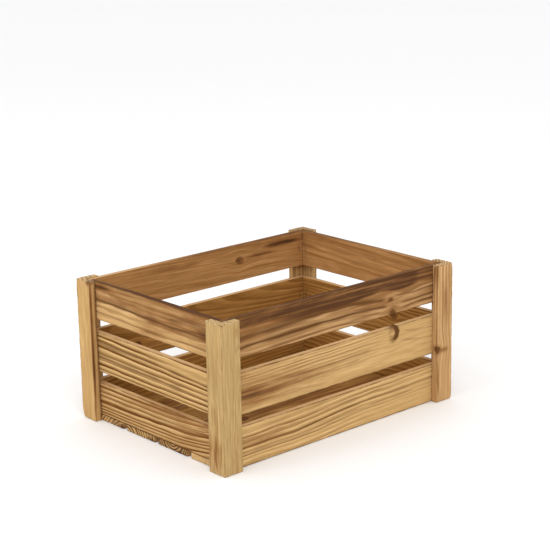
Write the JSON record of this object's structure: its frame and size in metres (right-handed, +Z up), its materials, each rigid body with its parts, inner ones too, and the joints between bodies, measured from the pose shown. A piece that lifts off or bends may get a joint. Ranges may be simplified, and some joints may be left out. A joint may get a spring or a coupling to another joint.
{
  "type": "crate",
  "caption": "Open-topped slatted wooden apple crate with L-section corner posts outside spaced side slats and a slatted bottom, for picking, carrying and storing fruit.",
  "frame": {"origin": "middle of the footprint, on the ground that the four posts stand on", "axes": "+X along the long side, +Y along the short side, +Z up; front is -Y, left is -X"},
  "size_m": [0.399, 0.292, 0.19],
  "materials": {
    "post_pine": "lightly flamed, unvarnished, fine straight grain",
    "slat_pine": "flamed and brushed, unvarnished, dark raised grain",
    "board_pine": "lightly flamed, unvarnished",
    "staple_wire": "galvanised wire"
  },
  "bodies": {
    "root": {"post_left_front": "post_pine", "post_right_front": "post_pine", "post_right_back": "post_pine", "post_left_back": "post_pine", "front_slat_bottom": "slat_pine", "front_slat_middle": "slat_pine", "front_slat_top": "slat_pine", "back_slat_bottom": "slat_pine", "back_slat_middle": "slat_pine", "back_slat_top": "slat_pine", "left_slat_bottom": "slat_pine", "left_slat_middle": "slat_pine", "left_slat_top": "slat_pine", "right_slat_bottom": "slat_pine", "right_slat_middle": "slat_pine", "right_slat_top": "slat_pine", "bottom_board_1": "board_pine", "bottom_board_2": "board_pine", "bottom_board_3": "board_pine", "bottom_board_4": "board_pine", "staple_front_bottom_left": "staple_wire", "staple_front_bottom_right": "staple_wire", "staple_front_middle_left": "staple_wire", "staple_front_middle_right": "staple_wire", "staple_front_top_left": "staple_wire", "staple_front_top_right": "staple_wire", "staple_back_bottom_left": "staple_wire", "staple_back_bottom_right": "staple_wire", "staple_back_middle_left": "staple_wire", "staple_back_middle_right": "staple_wire", "staple_back_top_left": "staple_wire", "staple_back_top_right": "staple_wire", "staple_left_bottom_front": "staple_wire", "staple_left_bottom_back": "staple_wire", "staple_left_middle_front": "staple_wire", "staple_left_middle_back": "staple_wire", "staple_left_top_front": "staple_wire", "staple_left_top_back": "staple_wire", "staple_right_bottom_front": "staple_wire", "staple_right_bottom_back": "staple_wire", "staple_right_middle_front": "staple_wire", "staple_right_middle_back": "staple_wire", "staple_right_top_front": "staple_wire", "staple_right_top_back": "staple_wire", "staple_board_1_left": "staple_wire", "staple_board_1_right": "staple_wire", "staple_board_2_left": "staple_wire", "staple_board_2_right": "staple_wire", "staple_board_3_left": "staple_wire", "staple_board_3_right": "staple_wire", "staple_board_4_left": "staple_wire", "staple_board_4_right": "staple_wire"}
  },
  "joints": []
}
